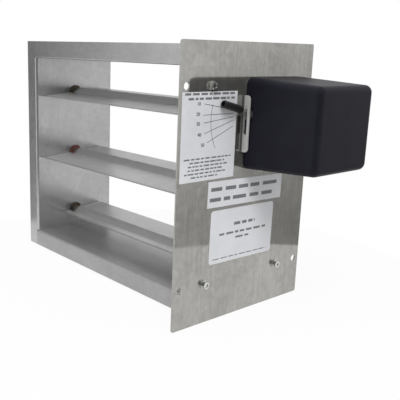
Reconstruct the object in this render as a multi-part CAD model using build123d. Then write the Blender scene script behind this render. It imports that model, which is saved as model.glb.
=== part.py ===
from build123d import *
import os
from math import acos, cos, pi, radians, sin, tan

# Rectangular zone damper for an air duct, in millimetres.
# The frame slides into the duct through a slot in its side, and the plate closes that slot from outside.
# Origin: centre of the plate's back face, which lies on the duct. +X points out of the duct towards
# the actuator, Y runs along the air flow with the photographed face at -Y, and +Z is up.

# Mounting plate
plate_overhang_y = 32.5
plate_overhang_z = 3.0
plate_thickness = 1.5
plate_corner_radius = 2.0
duct_hole_inset_y = 7.5
duct_hole_inset_z = 37.5
duct_hole_diameter = 6.4

# Frame channels, with the flanges turned outwards
frame_length = 304.0
frame_height = 248.0
frame_depth = 110.0
sheet = 1.2
flange_width = 19.0
bend_radius = 1.2
corner_gap = 0.3

# Lips of the near channel and the screws that hold the plate on them
lip_width = 16.0
lip_height = 32.0
plate_screw_inset_y = 5.0
plate_screw_inset_z = 34.5
plate_screw_radius = 2.0
plate_screw_length = 9.5
plate_screw_washer_radius = 4.2
plate_screw_washer_thickness = 0.9
plate_screw_hex_flats = 6.35
plate_screw_hex_height = 3.2
plate_screw_recess_radius = 2.1
plate_screw_recess_depth = 0.9
screw_clearance = 0.3
thread_fit = 0.02

# Blades and their shafts
blade_count = 3
blade_thickness = 0.9
top_axis_drop = 41.0
bottom_axis_rise = 19.8
ceiling_clearance = 2.0
blade_lap = 10.9
floor_clearance = 0.6
blade_rest_tilt = 5.0
blade_travel = 82.0
blade_bend_radius = 1.1
rib_slope = 35.0
blade_side_clearance = 1.2
shaft_diameter = 9.525
shaft_chamfer = 0.6
shaft_fit = 0.04
running_fit = 0.05

# Flanged bushes in the two end channels
bush_flange_diameter = 17.0
bush_flange_thickness = 1.3
bush_barrel_diameter = 12.7
bush_barrel_length = 5.5
bush_seat_fit = 0.02

# Linkage in the hollow between the near channel and the plate
crank_radius = 22.0
crank_thickness = 3.0
crank_hub_radius = 8.0
crank_boss_radius = 7.4
crank_hub_length = 6.3
crank_tip_radius = 6.0
crank_to_bush_gap = 0.7
tie_bar_width = 12.0
tie_bar_thickness = 2.0
tie_bar_end = 8.0
tie_bar_side_gap = 0.5
pin_radius = 2.5
pin_head_radius = 4.2
pin_head_thickness = 1.4
open_pivot_clearance = 0.3
shaft_overrun = 1.0

# Actuator base sheet with its slotted guide tab
base_thickness = 1.5
base_inset = 0.4
base_hole_clearance = 0.7
base_head_clearance = 0.5
tab_height = 51.0
tab_drop = 9.0
tab_gap = 1.0
tab_thickness = 1.2
tab_reach = 6.4
tab_corner_radius = 3.5
slot_rise = 4.6
slot_drop = 19.0
slot_clearance = 0.3
ear_thickness = 1.5
ear_width = 12.0
ear_reach = 13.0
bottom_ear_y = 10.0
back_ear_drop = 10.0
base_screw_offsets = [(22.0, -42.0), (22.0, 25.0), (46.0, -24.0)]
base_screw_radius = 2.0
base_screw_head_radius = 3.6
base_screw_head_height = 2.2
base_screw_overrun = 3.0

# Stop lever that turns on the drive shaft
lever_hub_radius = 6.3
lever_hub_width = 3.6
lever_hub_gap = 0.6
lever_rest_angle = 14.0
lever_rod_radius = 1.2
lever_rod_end = 38.0
grip_start = 17.0
grip_end = 41.0
grip_radius = 3.4
grip_edge_radius = 0.8
grip_mouth_radius = 2.0

# Gear drive
gear_module = 1.0
sector_full_teeth = 52
sector_teeth_above = 1
pinion_teeth = 16
pressure_angle = 20.0
gear_backlash = 0.16
gear_addendum = 1.0
gear_dedendum = 1.25
sector_thickness = 2.5
sector_hub_radius = 6.3
sector_to_lever_gap = 0.4
pinion_overlap = 0.4
pinion_shaft_radius = 2.5
pinion_bore_depth = 8.0
shaft_end_margin = 0.5

# Gear motor
gear_plate_gap = 0.8
gear_plate_width = 64.0
gear_plate_height = 63.0
gear_plate_thickness = 2.0
gear_plate_corner = 5.0
gear_plate_drop = 4.0
gear_housing_width = 48.0
gear_housing_height = 46.0
gear_housing_depth = 16.0
gear_housing_corner = 6.0
standoff_radius = 3.0
standoff_inset = 4.5
standoff_clearance = 1.5
standoff_screw_radius = 1.5
standoff_screw_length = 6.0
standoff_screw_head_radius = 2.8
standoff_screw_head_height = 1.8
motor_radius = 25.0
motor_length = 27.6
motor_edge_radius = 2.5
motor_band_radius = 25.8
motor_band_width = 2.0

# Terminal block on the base
terminal_count = 4
terminal_pitch = 7.6
terminal_height = 9.0
terminal_depth = 7.0
terminal_barrier = 1.4
terminal_barrier_rise = 4.0
terminal_start_y = 31.0
terminal_drop = 45.1
terminal_screw_radius = 2.4
terminal_screw_height = 1.4
terminal_shank_radius = 1.2
terminal_shank_length = 4.0

# Moulded cover
cover_front_y = -8.1
cover_width = 81.0
cover_drop = 50.9
cover_height = 83.3
cover_depth = 77.7
cover_side_draft = 1.4
cover_top_draft = 4.1
cover_wall = 2.2
cover_corner_radius = 7.0
cover_edge_radius = 6.0
lever_notch_height = 11.0
lever_notch_margin = 0.8
cover_screw_radius = 1.5
cover_screw_length = 8.5
cover_screw_head_radius = 3.2
cover_screw_head_height = 2.1
cover_screw_reach = 6.5
cover_screw_seat_gap = 0.2

# Rubber bush for the wires, in the cover's back wall
grommet_reach = 21.0
grommet_drop = 37.0
grommet_radius = 7.0
grommet_groove_radius = 5.0
grommet_bore_radius = 3.25
grommet_flange = 1.8
grommet_fit = 0.12
grommet_side_gap = 0.3

# Stick-on labels
label_thickness = 0.2
scale_label_size = (66.5, 76.8)
scale_label_offset = (-51.6, -17.9)
upper_label_size = (101.5, 24.0)
upper_label_offset = (1.0, -71.6)
upper_label_turn = -1.2
lower_label_size = (86.0, 50.5)
lower_label_offset = (-1.7, -111.8)
lower_label_turn = -0.8
lower_label_corner = 3.0

nodes = {}


# Shapes that several pieces share

def block(x0, x1, y0, y1, z0, z1):
    return Pos((x0 + x1) / 2, (y0 + y1) / 2, (z0 + z1) / 2) * Box(x1 - x0, y1 - y0, z1 - z0)


def upright(radius, length):
    return Cylinder(radius, length, align=(Align.CENTER, Align.CENTER, Align.MIN))


def x_rod(radius, x0, x1, y=0.0, z=0.0):
    return Pos(x0, y, z) * Rot(0, 90, 0) * upright(radius, x1 - x0)


def y_rod(radius, y0, y1, x=0.0, z=0.0):
    return Pos(x, y0, z) * Rot(-90, 0, 0) * upright(radius, y1 - y0)


def z_rod(radius, z0, z1, x=0.0, y=0.0):
    return Pos(x, y, z0) * upright(radius, z1 - z0)


def x_slab(sketch, x0, x1):
    return extrude(Plane.YZ.offset(x0) * sketch, amount=x1 - x0)


def corners(spacing_y, spacing_z):
    return [(sy * spacing_y / 2, sz * spacing_z / 2) for sy in (-1, 1) for sz in (-1, 1)]


# Places along X that the pieces share
far_web_x = flange_width - frame_length
near_web_x = -flange_width
bend_outer = bend_radius + sheet
plate_face_x = plate_thickness
opening_half = frame_height / 2 - flange_width
half_depth = frame_depth / 2

# Blade axes, equally spaced between the ceiling and the floor
blade_pitch = (2 * opening_half - top_axis_drop - bottom_axis_rise) / (blade_count - 1)
axis_z = [opening_half - top_axis_drop - i * blade_pitch for i in range(blade_count)]
drive_z = axis_z[0]
shaft_radius = shaft_diameter / 2

# Plate and its holes, set out from the frame and from the drive shaft
plate_width = frame_depth + 2 * plate_overhang_y
plate_height = frame_height + 2 * plate_overhang_z
duct_holes = corners(plate_width - 2 * duct_hole_inset_y, plate_height - 2 * duct_hole_inset_z)
plate_screw_places = corners(frame_depth - 2 * plate_screw_inset_y, frame_height - 2 * plate_screw_inset_z)
base_screw_places = [(y, drive_z + rise) for y, rise in base_screw_offsets]

# Stack of the linkage, from the near bushes towards the plate
crank_x0 = near_web_x + bush_barrel_length + crank_to_bush_gap
crank_x1 = crank_x0 + crank_thickness
tie_bar_x0 = crank_x1 + tie_bar_side_gap
tie_bar_x1 = tie_bar_x0 + tie_bar_thickness
pin_head_x = tie_bar_x1 + tie_bar_side_gap
crank_hub_x1 = crank_x0 + crank_hub_length

# Stack of the actuator, outwards from the plate
base_face_x = plate_face_x + base_thickness
lever_hub_x0 = base_face_x + lever_hub_gap
lever_hub_x1 = lever_hub_x0 + lever_hub_width
lever_x = (lever_hub_x0 + lever_hub_x1) / 2
sector_x0 = lever_hub_x1 + sector_to_lever_gap
sector_x1 = sector_x0 + sector_thickness
drive_end_x = sector_x1 + shaft_end_margin
gear_plate_x0 = drive_end_x + gear_plate_gap
gear_plate_x1 = gear_plate_x0 + gear_plate_thickness
motor_x0 = gear_plate_x1 + gear_housing_depth


# Mounting plate
# A flat sheet with four holes for the duct screws, four for the frame screws and one for the drive shaft.

def mounting_plate():
    plate = x_slab(RectangleRounded(plate_width, plate_height, plate_corner_radius), 0, plate_thickness)
    for y, z in duct_holes:
        plate -= x_rod(duct_hole_diameter / 2, -1, plate_thickness + 1, y, z)
    for y, z in plate_screw_places:
        plate -= x_rod(plate_screw_radius + screw_clearance, -1, plate_thickness + 1, y, z)
    for y, z in base_screw_places:
        plate -= x_rod(base_screw_radius + thread_fit, -1, plate_thickness + 1, y, z)
    plate -= x_rod(shaft_radius + base_hole_clearance, -1, plate_thickness + 1, 0, drive_z)
    return plate


nodes["mounting_plate"] = mounting_plate()


# Frame
# Four channels of one section. The upright ones keep their flanges to full height,
# and the others butt on them.

def channel_section():
    outer = Rectangle(frame_depth, flange_width, align=(Align.CENTER, Align.MIN))
    outer = fillet(outer.vertices().group_by(Axis.Y)[0], bend_outer)
    inner_width = frame_depth - 2 * sheet
    inner = Pos(0, sheet) * Rectangle(inner_width, flange_width, align=(Align.CENTER, Align.MIN))
    inner = fillet(inner.vertices().group_by(Axis.Y)[0], bend_radius)
    return outer - inner


def crossing_channel(side):
    x0 = far_web_x - bend_outer
    x1 = near_web_x + bend_outer
    start = x0 if side > 0 else x1
    plane = Plane(origin=(start, 0, side * opening_half), x_dir=(0, 1, 0), z_dir=(side, 0, 0))
    return extrude(plane * channel_section(), amount=x1 - x0)


def upright_channel(web_x, outward):
    plane = Plane(origin=(web_x, 0, outward * opening_half), x_dir=(0, 1, 0), z_dir=(0, 0, -outward))
    channel = extrude(plane * channel_section(), amount=2 * opening_half)
    flat = web_x + outward * (bend_outer + corner_gap)
    edge = web_x + outward * flange_width
    for side in (-1, 1):
        for end in (-1, 1):
            y0, y1 = sorted((side * half_depth, side * (half_depth - sheet)))
            z0, z1 = sorted((end * opening_half, end * frame_height / 2))
            channel += block(min(flat, edge), max(flat, edge), y0, y1, z0, z1)
    for z in axis_z:
        hole_radius = bush_barrel_diameter / 2 + bush_seat_fit
        channel -= x_rod(hole_radius, web_x - 2 * sheet, web_x + 2 * sheet, 0, z)
    return channel


def near_channel():
    channel = upright_channel(near_web_x, 1)
    for y, z in plate_screw_places:
        side = 1 if y > 0 else -1
        y0, y1 = sorted((side * (half_depth - lip_width), side * (half_depth - sheet)))
        channel += block(-sheet, 0, y0, y1, z - lip_height / 2, z + lip_height / 2)
    for y, z in plate_screw_places:
        channel -= x_rod(plate_screw_radius + thread_fit, -2 * sheet, 1, y, z)
    return channel


nodes["frame_top"] = crossing_channel(1)
nodes["frame_bottom"] = crossing_channel(-1)
nodes["frame_far_end"] = upright_channel(far_web_x, -1)
nodes["frame_near_end"] = near_channel()


# Plate screws
# Hex washer head screws that tap into the lips of the near channel.

def plate_screw(y, z):
    washer_x = plate_face_x + plate_screw_washer_thickness
    screw = x_rod(plate_screw_washer_radius, plate_face_x, washer_x, y, z)
    hexagon = RegularPolygon(plate_screw_hex_flats / 2, 6, major_radius=False)
    head_x = washer_x + plate_screw_hex_height
    screw += x_slab(Pos(y, z) * hexagon, washer_x, head_x)
    screw -= x_rod(plate_screw_recess_radius, head_x - plate_screw_recess_depth, head_x + 1, y, z)
    screw += x_rod(plate_screw_radius, plate_face_x - plate_screw_length, plate_face_x, y, z)
    tip_length = 2 * plate_screw_radius
    tip = Cone(0.2, plate_screw_radius, tip_length, align=(Align.CENTER, Align.CENTER, Align.MIN))
    tip_x = plate_face_x - plate_screw_length - tip_length
    return screw + Pos(tip_x, y, z) * Rot(0, 90, 0) * tip


nodes["plate_screws"] = Compound(
    children=[plate_screw(y, z) for y, z in plate_screw_places]
)


# Bushes
# Each bush is pushed through its web from the air side, so its flange faces the blade.

def bush(web_x, outward, z):
    flange_x = web_x - outward * bush_flange_thickness
    barrel_x = web_x + outward * bush_barrel_length
    body = x_rod(bush_flange_diameter / 2, min(web_x, flange_x), max(web_x, flange_x), 0, z)
    body += x_rod(bush_barrel_diameter / 2, min(web_x, barrel_x), max(web_x, barrel_x), 0, z)
    ends = sorted((flange_x, barrel_x))
    return body - x_rod(shaft_radius + running_fit, ends[0] - 1, ends[1] + 1, 0, z)


for i, z in enumerate(axis_z, start=1):
    nodes[f"far_bush_{i}"] = bush(far_web_x, -1, z)
    nodes[f"near_bush_{i}"] = bush(near_web_x, 1, z)


# Shafts
# Plain rods welded along the blades. The top one also passes the plate to the sector gear.

def shaft(z, near_x):
    rod = x_rod(shaft_radius, far_web_x - bush_barrel_length, near_x, 0, z)
    return chamfer(rod.edges().filter_by(GeomType.CIRCLE), shaft_chamfer)


for i, z in enumerate(axis_z, start=1):
    nodes[f"shaft_{i}"] = shaft(z, drive_end_x if i == 1 else crank_hub_x1 + shaft_overrun)


# Blades
# One sheet each, folded to a roof-shaped rib that lies over the shaft. The lowest one is cut short in front.
blade_back = top_axis_drop - ceiling_clearance
blade_front = blade_pitch - blade_back + blade_lap
bottom_blade_front = bottom_axis_rise - floor_clearance
blade_end_gap = bush_flange_thickness + blade_side_clearance


def blade_section(front, back):
    slope = radians(rib_slope)
    rib_inner = shaft_radius + shaft_fit
    inner_rise = rib_inner / cos(slope)
    outer_rise = (rib_inner + blade_thickness) / cos(slope)
    inner_run = inner_rise / tan(slope)
    outer_run = outer_rise / tan(slope)
    flat = Pos((back - front) / 2, blade_thickness / 2) * Rectangle(front + back, blade_thickness)
    roof = make_face(Polyline((-outer_run, 0), (0, outer_rise), (outer_run, 0), close=True))
    hollow = make_face(Polyline((-inner_run, 0), (0, inner_rise), (inner_run, 0), close=True))
    section = flat + roof - hollow
    root_run = outer_run - blade_thickness / tan(slope)
    tight = blade_bend_radius
    wide = blade_bend_radius + blade_thickness
    bends = [(0, outer_rise, wide), (0, inner_rise, tight)]
    for side in (-1, 1):
        bends += [(side * root_run, blade_thickness, tight), (side * inner_run, 0, wide)]
    for y, z, radius in bends:
        section = fillet(section.vertices().sort_by_distance((y, z))[0], radius)
    return section


def blade(front, z):
    section = Rot(0, 0, blade_rest_tilt) * blade_section(front, blade_back)
    return x_slab(Pos(0, z) * section, far_web_x + blade_end_gap, near_web_x - blade_end_gap)


for i, z in enumerate(axis_z, start=1):
    nodes[f"blade_{i}"] = blade(bottom_blade_front if i == blade_count else blade_front, z)


# Linkage
# A crank on each shaft, joined by one upright bar, so that the blades turn together.
crank_rest_angle = -blade_travel / 2
pin_y = crank_radius * cos(radians(crank_rest_angle))
pin_drop = crank_radius * sin(radians(crank_rest_angle))


def crank(z):
    hub = Circle(crank_hub_radius)
    tip = Pos(crank_radius, 0) * Circle(crank_tip_radius)
    arm = Rot(0, 0, crank_rest_angle) * make_hull(hub.edges() + tip.edges())
    body = x_slab(Pos(0, z) * arm, crank_x0, crank_x1)
    body += x_rod(crank_boss_radius, crank_x0, crank_hub_x1, 0, z)
    body -= x_rod(shaft_radius + shaft_fit, crank_x0 - 1, crank_hub_x1 + 1, 0, z)
    return body - x_rod(pin_radius + thread_fit, crank_x0 - 1, crank_x1 + 1, pin_y, z + pin_drop)


def crank_pin(z):
    pin = x_rod(pin_radius, crank_x0, pin_head_x, pin_y, z + pin_drop)
    pin += x_rod(pin_head_radius, crank_x0 - pin_head_thickness, crank_x0, pin_y, z + pin_drop)
    return pin + x_rod(pin_head_radius, pin_head_x, pin_head_x + pin_head_thickness, pin_y, z + pin_drop)


def tie_bar():
    length = axis_z[0] - axis_z[-1] + 2 * tie_bar_end
    middle_z = (axis_z[0] + axis_z[-1]) / 2 + pin_drop
    outline = Pos(pin_y, middle_z) * Rot(0, 0, 90) * SlotOverall(length, tie_bar_width)
    bar = x_slab(outline, tie_bar_x0, tie_bar_x1)
    for i, z in enumerate(axis_z):
        clearance = running_fit if i == 0 else open_pivot_clearance
        bar -= x_rod(pin_radius + clearance, tie_bar_x0 - 1, tie_bar_x1 + 1, pin_y, z + pin_drop)
    return bar


for i, z in enumerate(axis_z, start=1):
    nodes[f"crank_{i}"] = crank(z)
    nodes[f"crank_pin_{i}"] = crank_pin(z)
nodes["tie_bar"] = tie_bar()


# Cover outline, which the base sheet under it shares
cover_bottom_z = drive_z - cover_drop
cover_centre_y = cover_front_y + cover_width / 2
cover_centre_z = cover_bottom_z + cover_height / 2
cover_end_x = base_face_x + cover_depth


def cover_outline(x, inset):
    share = (x - base_face_x) / cover_depth
    width = cover_width - 2 * (inset + share * cover_side_draft)
    height = cover_height - 2 * (inset + share * cover_top_draft)
    outline = RectangleRounded(width, height, cover_corner_radius - inset)
    return Plane.YZ.offset(x) * Pos(cover_centre_y, cover_centre_z) * outline


def cover_bottom_at(x, inset):
    return cover_bottom_z + inset + cover_top_draft * (x - base_face_x) / cover_depth


def cover_back_at(x, inset):
    return cover_front_y + cover_width - inset - cover_side_draft * (x - base_face_x) / cover_depth


# Actuator base
# One folded sheet: the plate under the cover, the slotted tab in front of it
# and two ears for the cover screws.
# It has a round opening over the one plate screw that it covers.
tab_centre_z = drive_z - tab_drop
back_ear_z = drive_z - back_ear_drop
tab_back_y = cover_front_y - tab_gap
tab_front_y = tab_back_y - tab_thickness
ear_x1 = base_face_x + ear_reach
cover_screw_x = base_face_x + cover_screw_reach
bottom_ear_z = cover_bottom_at(ear_x1, cover_wall) + cover_screw_seat_gap
back_ear_y = cover_back_at(ear_x1, cover_wall) - cover_screw_seat_gap


def guide_tab():
    low = tab_centre_z - tab_height / 2
    high = tab_centre_z + tab_height / 2
    tip_x = base_face_x + tab_reach
    outline = Rectangle(tip_x - plate_face_x, tab_height)
    outline = fillet(outline.vertices().group_by(Axis.X)[-1], tab_corner_radius)
    face = Plane.XZ * Pos((tip_x + plate_face_x) / 2, tab_centre_z) * outline
    tab = Pos(0, tab_back_y, 0) * extrude(face, amount=tab_thickness)
    neck = block(plate_face_x, base_face_x, tab_front_y, cover_front_y + 2 * base_inset, low, high)
    half_slot = lever_rod_radius + slot_clearance
    slot_low = drive_z - slot_drop + half_slot
    slot_high = drive_z + slot_rise - half_slot
    y0 = tab_front_y - 1
    y1 = tab_back_y + 1
    slot = block(base_face_x, lever_x + half_slot, y0, y1, slot_low, slot_high)
    for z in (slot_low, slot_high):
        slot += y_rod(half_slot, y0, y1, lever_x, z)
    return tab + neck - slot


def actuator_base():
    base = extrude(cover_outline(base_face_x, base_inset), amount=-base_thickness) + guide_tab()
    half_ear = ear_width / 2
    base += block(plate_face_x, ear_x1, bottom_ear_y - half_ear, bottom_ear_y + half_ear,
                  bottom_ear_z, bottom_ear_z + ear_thickness)
    base += block(plate_face_x, ear_x1, back_ear_y - ear_thickness, back_ear_y,
                  back_ear_z - half_ear, back_ear_z + half_ear)
    base -= x_rod(shaft_radius + base_hole_clearance, 0, base_face_x + 1, 0, drive_z)
    for y, z in base_screw_places:
        base -= x_rod(base_screw_radius + screw_clearance, 0, base_face_x + 1, y, z)
    covered_y, covered_z = plate_screw_places[-1]
    head_hole = plate_screw_washer_radius + base_head_clearance
    base -= x_rod(head_hole, 0, base_face_x + 1, covered_y, covered_z)
    ear_hole = cover_screw_radius + thread_fit
    base -= z_rod(ear_hole, bottom_ear_z - 1, bottom_ear_z + ear_thickness + 1, cover_screw_x, bottom_ear_y)
    base -= y_rod(ear_hole, back_ear_y - ear_thickness - 1, back_ear_y + 1, cover_screw_x, back_ear_z)
    return base


def base_screw(y, z):
    screw = x_rod(base_screw_radius, -base_screw_overrun, base_face_x, y, z)
    head = x_rod(base_screw_head_radius, base_face_x, base_face_x + base_screw_head_height, y, z)
    rim = head.edges().filter_by(GeomType.CIRCLE).sort_by(Axis.X)[-1]
    return screw + fillet(rim, base_screw_head_height / 2)


nodes["actuator_base"] = actuator_base()
nodes["base_screws"] = Compound(children=[base_screw(y, z) for y, z in base_screw_places])


# Stop lever
# A ring that turns on the drive shaft, with a rod through the slotted tab
# and a grip tube pushed over the rod's end.

def along_lever(shape):
    return Pos(lever_x, 0, drive_z) * Rot(90 - lever_rest_angle, 0, 0) * shape


lever_rod_start = shaft_radius + running_fit + lever_hub_gap / 2


def lever_hub():
    ring = x_rod(lever_hub_radius, lever_hub_x0, lever_hub_x1, 0, drive_z)
    ring -= x_rod(shaft_radius + running_fit, lever_hub_x0 - 1, lever_hub_x1 + 1, 0, drive_z)
    hole = upright(lever_rod_radius + thread_fit, grip_start)
    return ring - along_lever(Pos(0, 0, lever_rod_start) * hole)


def lever_grip():
    sleeve = Pos(0, 0, grip_start) * upright(grip_radius, grip_end - grip_start)
    sleeve = fillet(sleeve.edges().filter_by(GeomType.CIRCLE), grip_edge_radius)
    hole_length = lever_rod_end - grip_start + 2 * thread_fit
    sleeve -= Pos(0, 0, grip_start) * upright(lever_rod_radius + thread_fit, hole_length)
    sleeve -= Pos(0, 0, lever_rod_end) * upright(grip_mouth_radius, grip_end - lever_rod_end + 1)
    return along_lever(sleeve)


nodes["lever_hub"] = lever_hub()
nodes["lever_rod"] = along_lever(
    Pos(0, 0, lever_rod_start) * upright(lever_rod_radius, lever_rod_end - lever_rod_start)
)
nodes["lever_grip"] = lever_grip()


# Gears
# Involute teeth: the pinion has a full ring of them, the sector only the stretch that the travel uses.
sector_pitch_radius = gear_module * sector_full_teeth / 2
pinion_pitch_radius = gear_module * pinion_teeth / 2
pinion_y = sector_pitch_radius + pinion_pitch_radius
flank_steps = 4


def involute(angle):
    return tan(angle) - angle


def polar(radius, angle):
    return (radius * cos(angle), radius * sin(angle))


def tooth_points(teeth, centre_angle):
    pitch_radius = gear_module * teeth / 2
    base_radius = pitch_radius * cos(radians(pressure_angle))
    root_radius = pitch_radius - gear_dedendum * gear_module
    tip_radius = pitch_radius + gear_addendum * gear_module
    half_at_pitch = pi / (2 * teeth) - gear_backlash / (4 * pitch_radius)
    half_at_base = half_at_pitch + involute(radians(pressure_angle))
    start = max(base_radius, root_radius)
    flank = [(root_radius, half_at_base)] if root_radius < base_radius else []
    for k in range(flank_steps + 1):
        radius = start + (tip_radius - start) * k / flank_steps
        flank.append((radius, half_at_base - involute(acos(base_radius / radius))))
    rising = [polar(r, centre_angle - half) for r, half in flank]
    falling = [polar(r, centre_angle + half) for r, half in reversed(flank)]
    return rising + falling


def gear_face(teeth, centre_angles, through_centre):
    points = [p for angle in centre_angles for p in tooth_points(teeth, angle)]
    if through_centre:
        points.append((0, 0))
    return make_face(Polyline(*points, close=True))


def sector_gear():
    step = 2 * pi / sector_full_teeth
    teeth_below = round(radians(blade_travel) / step) + sector_teeth_above
    angles = [k * step for k in range(-teeth_below, sector_teeth_above + 1)]
    outline = gear_face(sector_full_teeth, angles, True) + Circle(sector_hub_radius)
    outline -= Circle(shaft_radius + shaft_fit)
    return x_slab(Pos(0, drive_z) * outline, sector_x0, sector_x1)


def drive_pinion():
    step = 2 * pi / pinion_teeth
    angles = [pi + (k + 0.5) * step for k in range(pinion_teeth)]
    outline = Pos(pinion_y, drive_z) * gear_face(pinion_teeth, angles, False)
    face_x1 = sector_x1 + pinion_overlap
    gear = x_slab(outline, sector_x0 - pinion_overlap, face_x1)
    shaft_x1 = gear_plate_x0 + pinion_bore_depth - shaft_end_margin
    return gear + x_rod(pinion_shaft_radius, face_x1, shaft_x1, pinion_y, drive_z)


nodes["sector_gear"] = sector_gear()
nodes["drive_pinion"] = drive_pinion()


# Gear motor
# A flanged gear case on three standoffs, with the motor can behind it.
# The upper standoff keeps clear below the plate screw that the base covers.
gear_centre_y = pinion_y
gear_plate_z = drive_z - gear_plate_drop
standoff_y = gear_plate_width / 2 - standoff_inset
standoff_z = gear_plate_height / 2 - standoff_inset
standoff_drop = plate_screw_washer_radius + standoff_radius + standoff_clearance
standoff_places = [
    (gear_centre_y + standoff_y, gear_plate_z - standoff_z),
    (gear_centre_y + standoff_y, plate_screw_places[-1][1] - standoff_drop),
    (gear_centre_y - standoff_y, gear_plate_z - standoff_z),
]


def gearbox():
    flange = RectangleRounded(gear_plate_width, gear_plate_height, gear_plate_corner)
    case = x_slab(Pos(gear_centre_y, gear_plate_z) * flange, gear_plate_x0, gear_plate_x1)
    housing = RectangleRounded(gear_housing_width, gear_housing_height, gear_housing_corner)
    case += x_slab(Pos(gear_centre_y, gear_plate_z) * housing, gear_plate_x1, motor_x0)
    bore_x1 = gear_plate_x0 + pinion_bore_depth
    case -= x_rod(pinion_shaft_radius + running_fit, gear_plate_x0 - 1, bore_x1, pinion_y, drive_z)
    for y, z in standoff_places:
        case -= x_rod(standoff_screw_radius + screw_clearance, gear_plate_x0 - 1, gear_plate_x1 + 1, y, z)
    return case


def standoff(y, z):
    pillar = x_rod(standoff_radius, base_face_x, gear_plate_x0, y, z)
    hole_x0 = gear_plate_x1 - standoff_screw_length - shaft_end_margin
    return pillar - x_rod(standoff_screw_radius + thread_fit, hole_x0, gear_plate_x0 + 1, y, z)


def standoff_screw(y, z):
    screw = x_rod(standoff_screw_radius, gear_plate_x1 - standoff_screw_length, gear_plate_x1, y, z)
    head_x1 = gear_plate_x1 + standoff_screw_head_height
    return screw + x_rod(standoff_screw_head_radius, gear_plate_x1, head_x1, y, z)


def motor():
    can = x_rod(motor_radius, motor_x0, motor_x0 + motor_length, gear_centre_y, gear_plate_z)
    rim = can.edges().filter_by(GeomType.CIRCLE).sort_by(Axis.X)[-1]
    can = fillet(rim, motor_edge_radius)
    band_x0 = motor_x0 + (motor_length - motor_band_width) / 2
    band_x1 = band_x0 + motor_band_width
    return can + x_rod(motor_band_radius, band_x0, band_x1, gear_centre_y, gear_plate_z)


nodes["gearbox"] = gearbox()
nodes["gearbox_standoffs"] = Compound(children=[standoff(y, z) for y, z in standoff_places])
nodes["gearbox_screws"] = Compound(children=[standoff_screw(y, z) for y, z in standoff_places])
nodes["motor"] = motor()


# Terminal block
# A moulded strip with a barrier on each side of every screw.
terminal_bottom_z = drive_z - terminal_drop
terminal_face_x = base_face_x + terminal_depth
terminal_top_z = terminal_bottom_z + terminal_height
terminal_places = [terminal_start_y + (i + 0.5) * terminal_pitch for i in range(terminal_count)]


def terminal_block():
    end_y = terminal_start_y + terminal_count * terminal_pitch
    body = block(base_face_x, terminal_face_x, terminal_start_y, end_y, terminal_bottom_z, terminal_top_z)
    for i in range(terminal_count + 1):
        y = terminal_start_y + i * terminal_pitch
        y0 = max(y - terminal_barrier / 2, terminal_start_y)
        y1 = min(y + terminal_barrier / 2, end_y)
        barrier_x1 = terminal_face_x + terminal_barrier_rise
        body += block(terminal_face_x, barrier_x1, y0, y1, terminal_bottom_z, terminal_top_z)
    hole_x0 = terminal_face_x - terminal_shank_length - shaft_end_margin
    for y in terminal_places:
        hole_z = (terminal_bottom_z + terminal_top_z) / 2
        body -= x_rod(terminal_shank_radius + thread_fit, hole_x0, terminal_face_x + 1, y, hole_z)
    return body


def terminal_screw(y):
    z = (terminal_bottom_z + terminal_top_z) / 2
    head_x1 = terminal_face_x + terminal_screw_height
    screw = x_rod(terminal_screw_radius, terminal_face_x, head_x1, y, z)
    shank_x0 = terminal_face_x - terminal_shank_length
    return screw + x_rod(terminal_shank_radius, shank_x0, terminal_face_x, y, z)


nodes["terminal_block"] = terminal_block()
nodes["terminal_screws"] = Compound(children=[terminal_screw(y) for y in terminal_places])


# Cover
# A moulded shell with draft on its walls, open towards the base and notched in front for the lever.
grommet_x = base_face_x + grommet_reach
grommet_z = drive_z - grommet_drop


def actuator_cover():
    shell = loft([cover_outline(base_face_x, 0), cover_outline(cover_end_x, 0)])
    end_edges = shell.faces().sort_by(Axis.X)[-1].edges()
    shell = fillet(end_edges, cover_edge_radius)
    inner_end_x = cover_end_x - cover_wall
    shell -= loft([cover_outline(base_face_x, cover_wall), cover_outline(inner_end_x, cover_wall)])
    notch_x1 = drive_end_x + lever_notch_margin
    half_notch = lever_notch_height / 2
    notch_y1 = cover_front_y + 2 * cover_wall
    shell -= block(0, notch_x1, cover_front_y - 1, notch_y1, drive_z - half_notch, drive_z + half_notch)
    back_y = cover_back_at(grommet_x, 0)
    hole = grommet_groove_radius + grommet_fit
    shell -= y_rod(hole, back_y - 2 * cover_wall, back_y + cover_wall, grommet_x, grommet_z)
    screw_hole = cover_screw_radius + screw_clearance
    low_z = cover_bottom_at(cover_screw_x, 0)
    shell -= z_rod(screw_hole, low_z - cover_wall, low_z + 2 * cover_wall, cover_screw_x, bottom_ear_y)
    back_screw_y = cover_back_at(cover_screw_x, 0)
    y0 = back_screw_y - 2 * cover_wall
    return shell - y_rod(screw_hole, y0, back_screw_y + cover_wall, cover_screw_x, back_ear_z)


def cover_screw():
    head = upright(cover_screw_head_radius, cover_screw_head_height)
    rim = head.edges().filter_by(GeomType.CIRCLE).sort_by(Axis.Z)[-1]
    head = fillet(rim, cover_screw_head_height / 2)
    return head + Pos(0, 0, -cover_screw_length) * upright(cover_screw_radius, cover_screw_length)


def cover_screws():
    low_z = cover_bottom_at(cover_screw_x, 0) - cover_screw_seat_gap
    low = Pos(cover_screw_x, bottom_ear_y, low_z) * Rot(180, 0, 0) * cover_screw()
    back_y = cover_back_at(cover_screw_x, 0) + cover_screw_seat_gap
    back = Pos(cover_screw_x, back_y, back_ear_z) * Rot(-90, 0, 0) * cover_screw()
    return Compound(children=[low, back])


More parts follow.
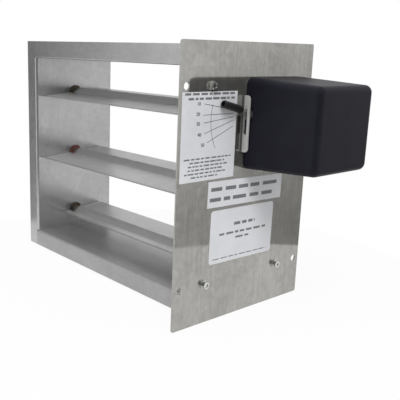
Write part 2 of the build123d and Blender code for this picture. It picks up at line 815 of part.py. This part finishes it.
def wire_grommet():
    outer_y = cover_back_at(grommet_x, 0) + grommet_side_gap
    inner_y = cover_back_at(grommet_x, cover_wall) - grommet_side_gap
    body = y_rod(grommet_groove_radius, inner_y, outer_y, grommet_x, grommet_z)
    body += y_rod(grommet_radius, outer_y, outer_y + grommet_flange, grommet_x, grommet_z)
    body += y_rod(grommet_radius, inner_y - grommet_flange, inner_y, grommet_x, grommet_z)
    bore_y0 = inner_y - grommet_flange - 1
    return body - y_rod(grommet_bore_radius, bore_y0, outer_y + grommet_flange + 1, grommet_x, grommet_z)


nodes["actuator_cover"] = actuator_cover()
nodes["cover_screws"] = cover_screws()
nodes["wire_grommet"] = wire_grommet()


# Labels
# Thin stick-on sheets on the plate, set out from the drive shaft, two of them stuck on a little askew.

def label(outline, offset, turn):
    placed = Pos(offset[0], drive_z + offset[1]) * Rot(0, 0, turn) * outline
    return x_slab(placed, plate_face_x, plate_face_x + label_thickness)


nodes["scale_label"] = label(Rectangle(*scale_label_size), scale_label_offset, 0)
nodes["upper_label"] = label(Rectangle(*upper_label_size), upper_label_offset, upper_label_turn)
lower_outline = RectangleRounded(*lower_label_size, lower_label_corner)
nodes["lower_label"] = label(lower_outline, lower_label_offset, lower_label_turn)


os.makedirs("parts", exist_ok=True)
for name, piece in nodes.items():
    export_step(piece, f"parts/{name}.step")
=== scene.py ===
import math
import random

import bmesh
import bpy
from mathutils import Matrix, Vector


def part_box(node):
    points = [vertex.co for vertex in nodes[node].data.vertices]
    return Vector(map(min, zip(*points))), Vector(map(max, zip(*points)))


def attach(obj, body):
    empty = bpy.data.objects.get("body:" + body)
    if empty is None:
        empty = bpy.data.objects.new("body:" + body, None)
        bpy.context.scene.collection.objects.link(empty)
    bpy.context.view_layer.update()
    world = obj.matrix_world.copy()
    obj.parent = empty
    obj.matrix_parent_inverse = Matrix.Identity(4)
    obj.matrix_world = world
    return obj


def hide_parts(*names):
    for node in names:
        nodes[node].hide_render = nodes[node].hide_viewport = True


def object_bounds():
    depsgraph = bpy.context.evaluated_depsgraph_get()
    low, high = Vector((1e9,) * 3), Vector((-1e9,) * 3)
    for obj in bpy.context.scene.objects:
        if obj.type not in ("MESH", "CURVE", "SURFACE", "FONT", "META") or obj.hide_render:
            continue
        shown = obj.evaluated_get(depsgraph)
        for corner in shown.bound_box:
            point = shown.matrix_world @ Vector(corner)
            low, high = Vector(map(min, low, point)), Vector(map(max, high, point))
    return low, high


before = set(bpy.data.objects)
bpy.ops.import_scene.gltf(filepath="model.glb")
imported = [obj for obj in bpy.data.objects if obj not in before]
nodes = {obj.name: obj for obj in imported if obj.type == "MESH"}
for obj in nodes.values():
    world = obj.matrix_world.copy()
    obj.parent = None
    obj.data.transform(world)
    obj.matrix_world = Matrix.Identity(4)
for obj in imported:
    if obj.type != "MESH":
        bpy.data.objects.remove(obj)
cad_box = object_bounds()

# The view
# The camera stands in front of the plate's left edge, a little above the top blade, and looks down at the
# damper. Its place, tilt and focal length were fitted to the plate's corners and the frame's edges.
mm = 0.001
picture_size = 400
focal_pixels = 635.36
optical_centre = (151.88, 192.37)
azimuth, dip, roll = (math.radians(angle) for angle in (49.64, 12.686, 1.517))
back_off, left_off, down_off = 591.681 * mm, 86.569 * mm, 9.767 * mm
ahead = Vector((-math.sin(azimuth) * math.cos(dip), math.cos(azimuth) * math.cos(dip), -math.sin(dip)))
level = Vector((math.cos(azimuth), math.sin(azimuth), 0))
upward = level.cross(ahead)
right = math.cos(roll) * level + math.sin(roll) * upward
up = math.cos(roll) * upward - math.sin(roll) * level
camera_data = bpy.data.cameras.new("camera")
camera_data.sensor_width = 36
camera_data.lens = focal_pixels / picture_size * camera_data.sensor_width
camera_data.shift_x = 0.5 - optical_centre[0] / picture_size
camera_data.shift_y = optical_centre[1] / picture_size - 0.5
camera = bpy.data.objects.new("camera", camera_data)
bpy.context.collection.objects.link(camera)
camera_place = -back_off * ahead - left_off * right - down_off * up
camera.matrix_world = Matrix.Translation(camera_place) @ Matrix((right, up, -ahead)).transposed().to_4x4()
bpy.context.scene.camera = camera
bpy.context.scene.view_settings.view_transform = "Standard"


# Floor and light
# A white studio: the damper stands on a pale round floor under a large soft lamp from the upper right and a
# weaker one from the front. The camera sees plain white all round; only what the metal mirrors is dimmer
# on three sides of the room. From below the floor can be looked through.
ambient_strength = 0.50
floor_radius = 305 * mm
floor_centre_x = -110 * mm
floor_grey = 0.9
floor_glow = 0.94
# Each dim side: where it lies, the cosines at which it starts and is complete, and its brightness there.
dim_sides = (
    ((-0.99, -0.14, 0), 0.85, 0.92, 0.0),
    ((0.45, 0.80, -0.40), 0.89, 0.985, 0.36),
    ((0.72, -0.69, -0.1), 0.60, 0.85, 0.15),
)


def link(tree, start, end):
    tree.links.new(start, end)


def add_node(tree, kind, **settings):
    column_width = 200
    node = tree.nodes.new(kind)
    node.location.x = column_width * len(tree.nodes)
    for key, value in settings.items():
        setattr(node, key, value)
    return node


def maths(tree, operation, first, second):
    node = add_node(tree, "ShaderNodeMath", operation=operation)
    for socket, value in zip(node.inputs, (first, second)):
        if isinstance(value, (int, float)):
            socket.default_value = value
        else:
            link(tree, value, socket)
    return node.outputs[0]


def fade(tree, value, start, end, low=0.0, high=1.0):
    node = add_node(tree, "ShaderNodeMapRange")
    for name, number in (("From Min", start), ("From Max", end), ("To Min", low), ("To Max", high)):
        node.inputs[name].default_value = number
    link(tree, value, node.inputs["Value"])
    return node.outputs["Result"]


def mixed(tree, share, first, second):
    node = add_node(tree, "ShaderNodeMixShader")
    for socket, value in zip(node.inputs, (share, first, second)):
        link(tree, value, socket)
    return node.outputs[0]


def seen_or_mirrored(tree):
    path = add_node(tree, "ShaderNodeLightPath")
    seen = maths(tree, "MAXIMUM", path.outputs["Is Camera Ray"], path.outputs["Is Glossy Ray"])
    return maths(tree, "MAXIMUM", seen, path.outputs["Is Transmission Ray"])


surround = bpy.data.worlds.new("surround")
surround.use_nodes = True
bpy.context.scene.world = surround
tree = surround.node_tree
tree.nodes.clear()
ambient = add_node(tree, "ShaderNodeBackground")
ambient.inputs["Color"].default_value = (1, 1, 1, 1)
ambient.inputs["Strength"].default_value = ambient_strength
backdrop = add_node(tree, "ShaderNodeBackground")
backdrop.inputs["Color"].default_value = (1, 1, 1, 1)
heading = add_node(tree, "ShaderNodeTexCoord")
brightness = 1.0
for side, edge, core, dimmed in dim_sides:
    nearness = add_node(tree, "ShaderNodeVectorMath", operation="DOT_PRODUCT")
    nearness.inputs[1].default_value = side
    link(tree, heading.outputs["Generated"], nearness.inputs[0])
    dimming = fade(tree, nearness.outputs["Value"], edge, core, 1.0, dimmed)
    brightness = maths(tree, "MULTIPLY", brightness, dimming)
path = add_node(tree, "ShaderNodeLightPath")
link(tree, maths(tree, "MAXIMUM", brightness, path.outputs["Is Camera Ray"]), backdrop.inputs["Strength"])
sky = mixed(tree, seen_or_mirrored(tree), ambient.outputs[0], backdrop.outputs[0])
link(tree, sky, add_node(tree, "ShaderNodeOutputWorld").inputs[0])

floor_mesh = bpy.data.meshes.new("floor")
shape = bmesh.new()
bmesh.ops.create_circle(shape, cap_ends=True, segments=96, radius=floor_radius)
bmesh.ops.translate(shape, vec=(floor_centre_x, 0, cad_box[0][2]), verts=shape.verts)
shape.to_mesh(floor_mesh)
shape.free()
floor = bpy.data.objects.new("floor", floor_mesh)
bpy.context.collection.objects.link(floor)
floor_white = bpy.data.materials.new("floor_white")
floor_white.use_nodes = True
tree = floor_white.node_tree
paper = tree.nodes["Principled BSDF"]
paper.inputs["Base Color"].default_value = (floor_grey, floor_grey, floor_grey, 1)
paper.inputs["Roughness"].default_value = 0.9
paper.inputs["Specular IOR Level"].default_value = 0.0
glow = add_node(tree, "ShaderNodeEmission")
glow.inputs["Strength"].default_value = 1.0
glow_share = maths(tree, "MULTIPLY", seen_or_mirrored(tree), floor_glow)
upper_side = mixed(tree, glow_share, paper.outputs[0], glow.outputs[0])
under_side = add_node(tree, "ShaderNodeBsdfTransparent")
side_seen = add_node(tree, "ShaderNodeNewGeometry")
one_way = mixed(tree, side_seen.outputs["Backfacing"], upper_side, under_side.outputs[0])
link(tree, one_way, tree.nodes["Material Output"].inputs[0])
floor_mesh.materials.append(floor_white)


def soft_lamp(name, place, target, size, power):
    data = bpy.data.lights.new(name, "AREA")
    data.shape = "DISK"
    data.size = size
    data.energy = power
    lamp = bpy.data.objects.new(name, data)
    bpy.context.collection.objects.link(lamp)
    lamp.location = place
    lamp.rotation_euler = (Vector(target) - Vector(place)).to_track_quat("-Z", "Y").to_euler()
    lamp.visible_glossy = False


soft_lamp("key_lamp", place=(0.9, -0.7, 1.5), target=(-0.05, 0, 0), size=0.9, power=18)
soft_lamp("front_lamp", place=(-0.5, -1.8, 0.7), target=(-0.15, 0, 0), size=1.2, power=9)


# Frame channels
# Four channels folded from hot-dip galvanised sheet, flanges outwards, joined into a rectangle. The zinc skin
# is dull silver with faint crystals, cloudy patches and fine streaks along the rolling direction.
along_x = (16, 800, 800)
along_z = (800, 800, 16)


def new_group(name, inputs, outputs):
    group = bpy.data.node_groups.new(name, "ShaderNodeTree")
    for label, kind, value in inputs:
        socket = group.interface.new_socket(label, in_out="INPUT", socket_type=kind)
        socket.default_value = value
    for label, kind in outputs:
        group.interface.new_socket(label, in_out="OUTPUT", socket_type=kind)
    return group, add_node(group, "NodeGroupInput"), add_node(group, "NodeGroupOutput")


def noise(tree, place, scale, detail, roughness):
    node = add_node(tree, "ShaderNodeTexNoise")
    link(tree, place, node.inputs["Vector"])
    if isinstance(scale, (int, float)):
        node.inputs["Scale"].default_value = scale
    else:
        link(tree, scale, node.inputs["Scale"])
    node.inputs["Detail"].default_value = detail
    node.inputs["Roughness"].default_value = roughness
    return node.outputs["Fac"]


def weighted_sum(tree, *parts):
    total = 0.0
    for value, weight in parts:
        total = maths(tree, "ADD", total, maths(tree, "MULTIPLY", value, weight))
    return total


def zinc_skin_group():
    group, entry, leave = new_group(
        "zinc_skin",
        [("Vector", "NodeSocketVector", (0, 0, 0)), ("Streak", "NodeSocketVector", (500, 500, 12)),
         ("Streak Share", "NodeSocketFloat", 0.28), ("Crystal Scale", "NodeSocketFloat", 110.0),
         ("Cloud Scale", "NodeSocketFloat", 14.0)],
        [("Tone", "NodeSocketFloat"), ("Gloss", "NodeSocketFloat"), ("Height", "NodeSocketFloat")])
    blotch_scale = 220.0
    cloud_share, blotch_share, crystal_share = 0.40, 0.40, 0.10
    place = entry.outputs["Vector"]
    stretched = add_node(group, "ShaderNodeVectorMath", operation="MULTIPLY")
    link(group, place, stretched.inputs[0])
    link(group, entry.outputs["Streak"], stretched.inputs[1])
    streak = noise(group, stretched.outputs[0], 1.0, 4.0, 0.6)
    cloud = noise(group, place, entry.outputs["Cloud Scale"], 4.0, 0.6)
    blotch = noise(group, place, blotch_scale, 4.0, 0.65)
    crystal = add_node(group, "ShaderNodeTexVoronoi")
    link(group, place, crystal.inputs["Vector"])
    link(group, entry.outputs["Crystal Scale"], crystal.inputs["Scale"])
    cell = add_node(group, "ShaderNodeSeparateColor")
    link(group, crystal.outputs["Color"], cell.inputs[0])
    shares = ((cloud, cloud_share), (blotch, blotch_share), (streak, entry.outputs["Streak Share"]),
              (cell.outputs[0], crystal_share))
    centred = [(maths(group, "SUBTRACT", value, 0.5), weight) for value, weight in shares]
    link(group, maths(group, "ADD", weighted_sum(group, *centred), 0.5), leave.inputs["Tone"])
    link(group, weighted_sum(group, (cell.outputs[1], 0.3), (blotch, 0.7)), leave.inputs["Gloss"])
    link(group, weighted_sum(group, (streak, 0.6), (blotch, 0.4)), leave.inputs["Height"])
    return group


zinc_skin = zinc_skin_group()


def grey(value):
    return (value, value, value)


def new_finish(name):
    material = bpy.data.materials.new(name)
    material.use_nodes = True
    tree = material.node_tree
    place = add_node(tree, "ShaderNodeTexCoord")
    return material, tree, tree.nodes["Principled BSDF"], place.outputs["Object"]


def two_tone(tree, factor, dark, light):
    dark_until, light_from = 0.25, 0.75
    ramp = add_node(tree, "ShaderNodeValToRGB")
    for stop, position, colour in zip(ramp.color_ramp.elements, (dark_until, light_from), (dark, light)):
        stop.position = position
        stop.color = (*colour, 1)
    link(tree, factor, ramp.inputs[0])
    return ramp.outputs["Color"]


def bumped(tree, shader, height, strength, distance):
    bump = add_node(tree, "ShaderNodeBump")
    bump.inputs["Strength"].default_value = strength
    bump.inputs["Distance"].default_value = distance
    link(tree, height, bump.inputs["Height"])
    link(tree, bump.outputs["Normal"], shader.inputs["Normal"])


def zinc_skin_on(tree, place, streak, share):
    skin = add_node(tree, "ShaderNodeGroup", node_tree=zinc_skin)
    link(tree, place, skin.inputs["Vector"])
    skin.inputs["Streak"].default_value = streak
    skin.inputs["Streak Share"].default_value = share
    return skin.outputs


def skin_surface(tree, shader, skin, metallic, rough):
    link(tree, fade(tree, skin["Gloss"], 0.0, 1.0, *rough), shader.inputs["Roughness"])
    shader.inputs["Metallic"].default_value = metallic
    bumped(tree, shader, skin["Height"], strength=0.05, distance=0.2 * mm)


def galvanised(name, dark, light, streak, metallic=0.78, rough=(0.18, 0.28), share=0.28, shade=None):
    material, tree, shader, place = new_finish(name)
    skin = zinc_skin_on(tree, place, streak, share)
    colour = two_tone(tree, skin["Tone"], dark, light)
    if shade:
        shaded = add_node(tree, "ShaderNodeVectorMath", operation="SCALE")
        link(tree, colour, shaded.inputs[0])
        link(tree, shade(tree, place), shaded.inputs["Scale"])
        colour = shaded.outputs[0]
    link(tree, colour, shader.inputs["Base Color"])
    skin_surface(tree, shader, skin, metallic, rough)
    return material


def dress(material, *names):
    for name in names:
        for slot in nodes[name].material_slots:
            slot.material = material


top_zinc = galvanised("frame_zinc", grey(0.38), grey(0.52), along_x, metallic=0.72)
# The bottom channel's zinc is darker than the top's: painted shade for the bottom blade's shade and dark mirror
# image on it.
bottom_zinc_painted_shade = galvanised("bottom_zinc_painted_shade", grey(0.29), grey(0.42), along_x, metallic=0.58, rough=(0.25, 0.35))
upright_zinc = galvanised("upright_zinc", grey(0.39), grey(0.57), along_z)
dress(top_zinc, "frame_top")
dress(bottom_zinc_painted_shade, "frame_bottom")
dress(upright_zinc, "frame_far_end", "frame_near_end")


# Bushes
# Six flanged bushes of oil-soaked sintered bronze, pushed through the end channels to carry the shafts. They
# are dull; the far middle one is reddish brown, the others painted dark brown, a painted shade of the same
# bronze.

def metal(name, dark, light, rough=(0.25, 0.4), metallic=0.9):
    material, tree, shader, place = new_finish(name)
    grain = noise(tree, place, 900.0, 3.0, 0.6)
    stain = noise(tree, place, 60.0, 4.0, 0.6)
    link(tree, two_tone(tree, stain, dark, light), shader.inputs["Base Color"])
    link(tree, fade(tree, grain, 0.0, 1.0, *rough), shader.inputs["Roughness"])
    shader.inputs["Metallic"].default_value = metallic
    bumped(tree, shader, grain, strength=0.1, distance=0.2 * mm)
    return material


# The same bronze painted dark brown: painted shade, on all bushes but the far middle one.
shaded_bronze = metal("shaded_bronze", (0.07, 0.055, 0.04), (0.17, 0.135, 0.10), rough=(0.45, 0.65), metallic=0.7)
red_bronze = metal("red_bronze", (0.14, 0.05, 0.04), (0.30, 0.13, 0.11), rough=(0.45, 0.65), metallic=0.6)
dress(shaded_bronze, "far_bush_1", "far_bush_3", "near_bush_1", "near_bush_2", "near_bush_3")
dress(red_bronze, "far_bush_2")


# Shafts and linkage
# Three drawn steel rods run through the bushes. Behind the plate a crank on each of them is hinged to one
# tie bar by a pin. All are thinly zinc plated: bright, with fine turning marks.
bright_steel = metal("bright_steel", (0.42, 0.42, 0.41), (0.60, 0.60, 0.58))
for place_in_row in (1, 2, 3):
    dress(bright_steel, f"shaft_{place_in_row}", f"crank_{place_in_row}", f"crank_pin_{place_in_row}")
dress(bright_steel, "tie_bar")


# Blades
# Three folded galvanised sheets, welded on their shafts under a roof-shaped rib. The rib is cut back at both
# ends, so that the bush's flange and a little of the shaft show there. The front edge is painted darker: a
# painted shade for the sheet's edge in shadow.
rib_cut_length = 9.0 * mm
rib_cut_width = 19.0 * mm
rib_cut_height = 40.0 * mm
merge_distance = 0.001 * mm
rim_width = 1.4 * mm
rim_fade = 1.0 * mm
edge_shade_level = 0.62
blade_dark, blade_light = 0.43, 0.57
# The last number of each row brightens that blade's zinc: painted light, making up for the shade that falls on
# the top and bottom blades.
blade_bodies = (("blade_1", "shaft_1", "drive_blade", 1.22), ("blade_2", "shaft_2", "middle_blade", 1.0),
                ("blade_3", "shaft_3", "bottom_blade", 1.08))


# Painted shade: darkens a strip along the sheet's front edge, for the edge in shadow.
def front_edge_painted_shade(edge_y):
    def shade(tree, place):
        axes = add_node(tree, "ShaderNodeSeparateXYZ")
        link(tree, place, axes.inputs[0])
        rim_end = edge_y + rim_width
        return fade(tree, axes.outputs["Y"], rim_end, rim_end + rim_fade, edge_shade_level)
    return shade


def rib_ends_cut(sheet, ends, shaft_z):
    cut_mesh = bpy.data.meshes.new("rib_cut")
    shape = bmesh.new()
    size = Matrix.Diagonal((2 * rib_cut_length, rib_cut_width, rib_cut_height, 1))
    for end_x in ends:
        bmesh.ops.create_cube(shape, size=1.0, matrix=Matrix.Translation((end_x, 0, shaft_z)) @ size)
    shape.to_mesh(cut_mesh)
    shape.free()
    cut = bpy.data.objects.new("rib_cut", cut_mesh)
    bpy.context.collection.objects.link(cut)
    notch = sheet.modifiers.new("rib_cut", "BOOLEAN")
    notch.operation = "DIFFERENCE"
    notch.solver = "EXACT"
    notch.object = cut
    result = sheet.evaluated_get(bpy.context.evaluated_depsgraph_get())
    notched_mesh = bpy.data.meshes.new_from_object(result)
    sheet.modifiers.clear()
    bpy.data.objects.remove(cut)
    bpy.data.meshes.remove(cut_mesh)
    return notched_mesh


for blade, shaft, body, light_gain_painted in blade_bodies:
    low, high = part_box(blade)
    shaft_low, shaft_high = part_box(shaft)
    folded_mesh = nodes[blade].data.copy()
    shape = bmesh.new()
    shape.from_mesh(folded_mesh)
    bmesh.ops.remove_doubles(shape, verts=shape.verts, dist=merge_distance)
    shape.to_mesh(folded_mesh)
    shape.free()
    sheet = bpy.data.objects.new(f"{blade}_sheet", folded_mesh)
    bpy.context.collection.objects.link(sheet)
    sheet.data = rib_ends_cut(sheet, (low[0], high[0]), (shaft_low[2] + shaft_high[2]) / 2)
    bpy.data.meshes.remove(folded_mesh)
    sheet.data.name = f"{blade}_sheet"
    sheet.data.materials.clear()
    sheet.data.materials.append(galvanised(
        f"{blade}_zinc", grey(blade_dark * light_gain_painted), grey(blade_light * light_gain_painted), along_x, metallic=0.50,
        rough=(0.30, 0.42), shade=front_edge_painted_shade(low[1])))
    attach(sheet, body)
    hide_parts(blade)


# Mounting plate
# A flat galvanised sheet, brighter and smoother than the channels, so that it mirrors the cover and the room.
# Four hex washer head screws hold it to the frame. Beside the tab it is painted dark, a painted reflection of
# the shaded tab and cover.
plate_streak = (500, 500, 18)
dark_reflection_y, dark_reflection_z = (-21.0 * mm, -12.5 * mm), (31.5 * mm, 63.0 * mm)
dark_reflection_edge = 0.8 * mm
dark_reflection_depth = 0.72


# Painted reflection: darkens the plate between the dial and the tab, for the shaded tab and cover mirrored
# there.
def painted_reflection_beside_tab(tree, place):
    axes = add_node(tree, "ShaderNodeSeparateXYZ")
    link(tree, place, axes.inputs[0])
    reflection_mask = 1.0
    for axis, (first, last) in (("Y", dark_reflection_y), ("Z", dark_reflection_z)):
        for start, end in ((first, first + dark_reflection_edge), (last, last - dark_reflection_edge)):
            reflection_mask = maths(tree, "MULTIPLY", reflection_mask, fade(tree, axes.outputs[axis], start, end))
    return maths(tree, "SUBTRACT", 1.0, maths(tree, "MULTIPLY", reflection_mask, dark_reflection_depth))


plate_zinc = galvanised("plate_zinc", (0.28, 0.275, 0.259), (0.485, 0.477, 0.45), plate_streak,
                        rough=(0.045, 0.09), share=0.36, shade=painted_reflection_beside_tab)
screw_zinc = metal("screw_zinc", (0.55, 0.55, 0.53), (0.74, 0.74, 0.72), rough=(0.12, 0.22), metallic=0.95)
dress(plate_zinc, "mounting_plate")
dress(screw_zinc, "plate_screws")


# Actuator base
# A zinc-plated sheet screwed flat on the plate under the cover, with a slotted tab bent up beside the lever.
# The tab is bright, and near its bend the base is painted almost black: painted shade beside the tab.
# Painted shade: nearer the plate than these distances the base is painted almost black.
painted_shade_until, unshaded_from = 2.4 * mm, 3.4 * mm
base_zinc, tree, shader, place = new_finish("base_zinc")
skin = zinc_skin_on(tree, place, along_z, share=0.28)
axes = add_node(tree, "ShaderNodeSeparateXYZ")
link(tree, place, axes.inputs[0])
blend = add_node(tree, "ShaderNodeMix", data_type="RGBA")
link(tree, fade(tree, axes.outputs["X"], painted_shade_until, unshaded_from), blend.inputs["Factor"])
link(tree, two_tone(tree, skin["Tone"], (0.07, 0.08, 0.07), (0.15, 0.16, 0.15)), blend.inputs["A"])
link(tree, two_tone(tree, skin["Tone"], (0.66, 0.67, 0.65), (0.80, 0.81, 0.79)), blend.inputs["B"])
link(tree, blend.outputs["Result"], shader.inputs["Base Color"])
skin_surface(tree, shader, skin, metallic=0.35, rough=(0.30, 0.42))
dress(base_zinc, "actuator_base")
dress(bright_steel, "base_screws")


# Gears, motor and terminals
# A toothed sector on the drive shaft meshes with the gear motor's brass pinion. The gearbox stands on posts
# on the base, with the motor can on it and a moulded terminal block beside it, all under the cover.

def moulded(name, dark, light, rough, grain_scale=1400.0, strength=0.15, shine=0.4):
    material, tree, shader, place = new_finish(name)
    grain = noise(tree, place, grain_scale, 2.0, 0.5)
    dust = noise(tree, place, 40.0, 5.0, 0.6)
    link(tree, two_tone(tree, dust, dark, light), shader.inputs["Base Color"])
    link(tree, fade(tree, grain, 0.0, 1.0, *rough), shader.inputs["Roughness"])
    shader.inputs["Specular IOR Level"].default_value = shine
    bumped(tree, shader, grain, strength, distance=0.3 * mm)
    return material


gear_brass = metal("gear_brass", (0.55, 0.42, 0.18), (0.75, 0.60, 0.30))
cover_black = moulded("cover_black", (0.009, 0.009, 0.014), (0.013, 0.013, 0.021), (0.42, 0.55), shine=0.13)
dress(gear_brass, "drive_pinion")
dress(bright_steel, "sector_gear", "gearbox", "gearbox_standoffs", "gearbox_screws", "motor", "terminal_screws")
dress(cover_black, "terminal_block")


# Stop lever
# A steel rod in a hub that turns on the drive shaft with some friction. A black grip is pushed over the rod's
# end, which points at the dial.
grip_black = moulded("grip_black", grey(0.008), grey(0.018), (0.4, 0.55))
dress(bright_steel, "lever_hub", "lever_rod")
dress(grip_black, "lever_grip")


# Cover
# A box moulded in black plastic with a fine grained skin, screwed to the base over the gears and motor. A
# rubber bush in its back wall takes the control cable.
dress(cover_black, "actuator_cover")
dress(bright_steel, "cover_screws")
dress(grip_black, "wire_grommet")


# Labels
# Three stick-on sheets of white film on the plate, printed in black. The left one is the lever's dial, with
# five pointer lines, an arc and plain numbers. Rows of plain bars stand where the sheets are printed.
film = {"grain_scale": 500.0, "strength": 0.04}
label_white = moulded("label_white", (0.77, 0.78, 0.81), (0.86, 0.87, 0.90), (0.4, 0.5), **film)
label_ink = moulded("label_ink", (0.020, 0.020, 0.022), (0.035, 0.035, 0.038), (0.5, 0.6), **film)
pale_ink = moulded("pale_ink", (0.17, 0.17, 0.18), (0.22, 0.22, 0.23), (0.5, 0.6), **film)
dress(label_white, "scale_label", "upper_label", "lower_label")
ink = 0.03 * mm
ink_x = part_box("scale_label")[1][0] + ink / 2
facing = Matrix(((0, 0, 1, 0), (1, 0, 0, 0), (0, 1, 0, 0), (0, 0, 0, 1)))


def bar(shape, y, z, length, height, turn=0.0):
    place = Matrix.Translation((ink_x, y * mm, z * mm)) @ Matrix.Rotation(math.radians(turn), 4, "X")
    size = Matrix.Diagonal((ink, length * mm, height * mm, 1))
    bmesh.ops.create_cube(shape, size=1.0, matrix=place @ size)


def printed(name, shape, material):
    mesh = bpy.data.meshes.new(name)
    shape.to_mesh(mesh)
    shape.free()
    mesh.materials.append(material)
    piece = bpy.data.objects.new(name, mesh)
    bpy.context.collection.objects.link(piece)
    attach(piece, "frame")


# The dial: measures in millimetres on the plate's face, Y across and Z up.
pointer_lines = (((-58.9, 74.3), (-22.5, 68.0)), ((-59.3, 64.8), (-22.6, 64.8)), ((-58.9, 58.0), (-22.5, 61.8)),
                 ((-57.4, 48.9), (-22.6, 58.8)), ((-53.7, 40.9), (-22.3, 53.6)))
line_width = 0.45
arc_centre_y, arc_centre_z = 0.1, 60.6
arc_radius = 50.4
arc_start = 15.0
arc_step = 2.65
arc_bars = 17
arc_bar_length = 2.36
arc_width = 0.4
dial_numbers = (("10", -65.4, 74.4), ("20", -65.9, 65.7), ("30", -65.4, 57.5), ("40", -63.5, 48.1),
                ("50", -59.1, 39.0))
number_height = 3.0
figure_share = 0.69
# Each number is struck twice, a little apart, which thickens its strokes.
strikes = ((-0.1, 0.0), (0.1, 0.1))


def number(shape, text, y, z):
    data = bpy.data.curves.new("number", "FONT")
    data.body = text
    data.size = number_height / figure_share * mm
    data.align_x = "CENTER"
    data.align_y = "CENTER"
    data.extrude = ink / 2
    holder = bpy.data.objects.new("number", data)
    bpy.context.collection.objects.link(holder)
    result = holder.evaluated_get(bpy.context.evaluated_depsgraph_get())
    for shift, lift in strikes:
        figure = bpy.data.meshes.new_from_object(result)
        figure.transform(Matrix.Translation((ink_x + lift * ink, (y + shift) * mm, z * mm)) @ facing)
        shape.from_mesh(figure)
        bpy.data.meshes.remove(figure)
    bpy.data.objects.remove(holder)
    bpy.data.curves.remove(data)


shape = bmesh.new()
for (y0, z0), (y1, z1) in pointer_lines:
    slope = math.degrees(math.atan2(z1 - z0, y1 - y0))
    bar(shape, (y0 + y1) / 2, (z0 + z1) / 2, math.hypot(y1 - y0, z1 - z0), line_width, slope)
for step in range(arc_bars):
    angle = arc_start - arc_step * (step + 0.5)
    y = arc_centre_y - arc_radius * math.cos(math.radians(angle))
    z = arc_centre_z + arc_radius * math.sin(math.radians(angle))
    bar(shape, y, z, arc_width, arc_bar_length, -angle)
for text, y, z in dial_numbers:
    number(shape, text, y, z)
printed("dial_print", shape, label_ink)

# The rows: each sheet's middle, its turn, and its rows as start, end, height on the sheet, bar height and
# longest bar, in millimetres from the sheet's middle.
heading_rows = ((-30.0, 31.0, 36.6, 1.9, 9.0), (-26.0, 31.0, 32.6, 1.9, 9.0))
small_row_ends = ((-29, 28), (-22, 20), (-24, 24), (-24, 18), (-28, 22), (-20, 12))
small_row_top, small_row_pitch = -18.6, 3.2
small_rows = tuple((start, end, small_row_top - small_row_pitch * row, 1.3, 7.0)
                   for row, (start, end) in enumerate(small_row_ends))
printed_sheets = (
    ((-51.6, 46.1), 0, heading_rows + small_rows),
    ((1.0, -7.6), -1.2, ((-47.0, 47.0, 4.6, 3.4, 21.0), (-48.0, 37.0, -4.9, 3.4, 21.0))),
    ((-1.7, -47.8), -0.8, ((-12.0, 17.0, 10.0, 2.8, 11.0), (-31.0, 33.0, 1.8, 2.0, 12.0),
                           (-9.0, 9.0, -3.4, 1.8, 12.0), (-38.0, 36.0, -21.0, 0.9, 9.0))),
)
shortest_bar = 0.35
bar_gap = 0.35
chance = random.Random(5)


def bar_row(shape, centre, turn, start, end, z, height, longest):
    lean = math.radians(turn)
    y = start
    while y < end:
        length = min(chance.uniform(shortest_bar, 1.0) * longest, end - y)
        middle = y + length / 2
        bar_y = centre[0] + middle * math.cos(lean) - z * math.sin(lean)
        bar_z = centre[1] + middle * math.sin(lean) + z * math.cos(lean)
        bar(shape, bar_y, bar_z, length, height, turn)
        y += length + bar_gap * longest * chance.uniform(0.4, 0.7)


shape = bmesh.new()
for centre, turn, rows in printed_sheets:
    for row in rows:
        bar_row(shape, centre, turn, *row)
printed("label_rows", shape, pale_ink)
